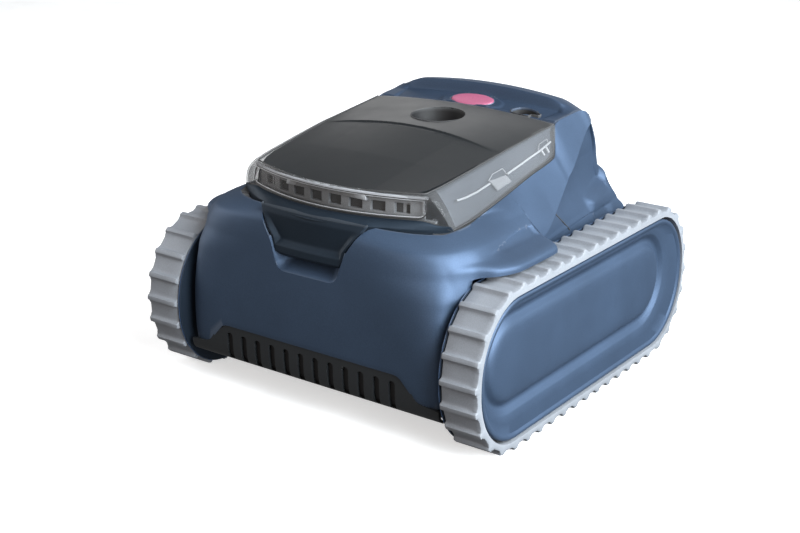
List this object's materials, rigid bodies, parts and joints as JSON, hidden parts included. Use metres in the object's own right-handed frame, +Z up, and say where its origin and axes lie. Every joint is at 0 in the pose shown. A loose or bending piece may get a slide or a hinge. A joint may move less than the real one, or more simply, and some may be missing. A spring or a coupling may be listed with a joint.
{
  "type": "robotic pool cleaner",
  "caption": "Tracked robotic pool cleaner with a hinged clear-edged lid, lift-out filter basket, water outlet, side track covers and a slotted front skirt.",
  "frame": {"origin": "on the ground under the centre of the machine's bounding box", "axes": "+Z up, -Y towards the front with the lid handle, +X towards the right-hand side seen from the front"},
  "size_m": [0.4, 0.433, 0.2809],
  "materials": {
    "navy_shell": "satin metallic navy",
    "deck_blue": "satin slate blue",
    "black_plastic": "fine-grained matt black",
    "black_rubber": "matt",
    "button_pink": "satin, slightly soft",
    "charcoal_panel": "satin charcoal",
    "clear_smoke": "clear smoked moulding, glossy",
    "belt_rubber": "moulded grey rubber, satin",
    "brush_blue": "moulded soft vanes",
    "grey_plastic": "moulded grey",
    "filter_mesh": "fine woven filter mesh",
    "pale_nylon": "natural nylon",
    "steel": "turned",
    "motor_casing": "satin dark casing",
    "battery_wrap": "shrink-wrapped",
    "board_green": "solder mask"
  },
  "bodies": {
    "hull": {"main_shell": "navy_shell", "handle_cup": "navy_shell", "rear_shell": "navy_shell", "top_deck": "deck_blue", "button_seal": "black_rubber", "button_spring": "steel", "charge_port": "black_plastic", "front_skirt": "black_plastic", "rear_skirt": "black_plastic", "chassis_pan": "black_plastic", "suction_nozzle": "black_plastic", "track_belt_l": "belt_rubber", "track_belt_r": "belt_rubber", "side_cover_l": "navy_shell", "side_cover_r": "navy_shell", "track_frame_l": "navy_shell", "track_frame_r": "navy_shell", "drive_motor_l": "motor_casing", "drive_motor_r": "motor_casing", "lid_hinge_pin_l": "steel", "lid_hinge_pin_r": "steel", "outlet_duct": "black_plastic", "pump_motor": "motor_casing", "dry_box": "black_plastic", "dry_box_cover": "black_plastic", "battery_pack": "battery_wrap", "control_board": "board_green"},
    "lid": {"lid_panel": "charcoal_panel", "lid_window": "clear_smoke", "lid_bezel": "navy_shell", "lid_catch": "black_plastic"},
    "basket": {"filter_basket": "grey_plastic", "basket_rim": "grey_plastic", "basket_mesh_front": "filter_mesh", "basket_mesh_rear": "filter_mesh", "basket_mesh_l": "filter_mesh", "basket_mesh_r": "filter_mesh", "basket_rod_l": "pale_nylon", "basket_rod_r": "pale_nylon"},
    "flap_left": {"intake_flap_l": "black_plastic"},
    "flap_right": {"intake_flap_r": "black_plastic"},
    "button": {"power_button": "button_pink"},
    "rotor": {"impeller": "black_plastic", "pump_shaft": "steel"},
    "brush_front": {"brush_core_front": "grey_plastic", "brush_sleeve_front": "brush_blue"},
    "brush_rear": {"brush_core_rear": "grey_plastic", "brush_sleeve_rear": "brush_blue"},
    "drive_left": {"drive_wheel_l": "grey_plastic", "drive_axle_l": "steel", "drive_gear_l": "pale_nylon"},
    "idler_left": {"idler_wheel_l": "grey_plastic"},
    "roller_left": {"mid_roller_l": "grey_plastic"},
    "pinion_left": {"motor_pinion_l": "steel"},
    "drive_right": {"drive_wheel_r": "grey_plastic", "drive_axle_r": "steel", "drive_gear_r": "pale_nylon"},
    "idler_right": {"idler_wheel_r": "grey_plastic"},
    "roller_right": {"mid_roller_r": "grey_plastic"},
    "pinion_right": {"motor_pinion_r": "steel"}
  },
  "joints": [
    {"name": "lid_hinge", "type": "hinge", "parent": "hull", "child": "lid", "pos_m": [0, 0.066, 0.2608], "axis": [-1, 0, 0], "range_deg": [0, 88]},
    {"name": "basket_lift", "type": "slide", "parent": "hull", "child": "basket", "axis": [0, 0, 1], "range_m": [0, 0.045]},
    {"name": "flap_left_hinge", "type": "hinge", "parent": "basket", "child": "flap_left", "pos_m": [-0.0335, -0.062, 0.0618], "axis": [1, 0, 0], "range_deg": [0, 70]},
    {"name": "flap_right_hinge", "type": "hinge", "parent": "basket", "child": "flap_right", "pos_m": [0.0335, -0.062, 0.0618], "axis": [1, 0, 0], "range_deg": [0, 70]},
    {"name": "power_button_press", "type": "slide", "parent": "hull", "child": "button", "axis": [0, 0, -1], "range_m": [0, 0.0015], "stiffness_N_per_m": 400, "springref_m": -0.001, "deforming": ["button_spring"]},
    {"name": "impeller_spin", "type": "hinge", "parent": "hull", "child": "rotor", "pos_m": [0, 0.0195, 0.23], "axis": [0, 0, 1], "continuous": true},
    {"name": "drive_left_spin", "type": "hinge", "parent": "hull", "child": "drive_left", "pos_m": [-0.174, -0.136, 0.08285], "axis": [1, 0, 0], "continuous": true},
    {"name": "idler_left_spin", "type": "hinge", "parent": "hull", "child": "idler_left", "pos_m": [-0.174, 0.136, 0.08285], "axis": [1, 0, 0], "continuous": true},
    {"name": "roller_left_spin", "type": "hinge", "parent": "hull", "child": "roller_left", "pos_m": [-0.173, 0, 0.036], "axis": [1, 0, 0], "continuous": true},
    {"name": "pinion_left_spin", "type": "hinge", "parent": "hull", "child": "pinion_left", "pos_m": [-0.143, -0.0806, 0.08285], "axis": [1, 0, 0], "continuous": true},
    {"name": "drive_right_spin", "type": "hinge", "parent": "hull", "child": "drive_right", "pos_m": [0.174, -0.136, 0.08285], "axis": [1, 0, 0], "continuous": true},
    {"name": "idler_right_spin", "type": "hinge", "parent": "hull", "child": "idler_right", "pos_m": [0.174, 0.136, 0.08285], "axis": [1, 0, 0], "continuous": true},
    {"name": "roller_right_spin", "type": "hinge", "parent": "hull", "child": "roller_right", "pos_m": [0.173, 0, 0.036], "axis": [1, 0, 0], "continuous": true},
    {"name": "pinion_right_spin", "type": "hinge", "parent": "hull", "child": "pinion_right", "pos_m": [0.143, -0.0806, 0.08285], "axis": [1, 0, 0], "continuous": true},
    {"name": "brush_front_spin", "type": "hinge", "parent": "hull", "child": "brush_front", "pos_m": [0, -0.0935, 0.025], "axis": [1, 0, 0], "continuous": true},
    {"name": "brush_rear_spin", "type": "hinge", "parent": "hull", "child": "brush_rear", "pos_m": [0, 0.0935, 0.025], "axis": [1, 0, 0], "continuous": true}
  ],
  "couplings": [
    {"joint": "basket_lift", "follows": "lid_hinge", "m_per_rad": 0.029},
    {"joint": "idler_left_spin", "follows": "drive_left_spin", "ratio": 1},
    {"joint": "roller_left_spin", "follows": "drive_left_spin", "ratio": 3},
    {"joint": "pinion_left_spin", "follows": "drive_left_spin", "ratio": -2.6667},
    {"joint": "idler_right_spin", "follows": "drive_right_spin", "ratio": 1},
    {"joint": "roller_right_spin", "follows": "drive_right_spin", "ratio": 3},
    {"joint": "pinion_right_spin", "follows": "drive_right_spin", "ratio": -2.6667},
    {"joint": "brush_front_spin", "follows": "drive_left_spin", "ratio": 2},
    {"joint": "brush_rear_spin", "follows": "drive_right_spin", "ratio": 2}
  ]
}
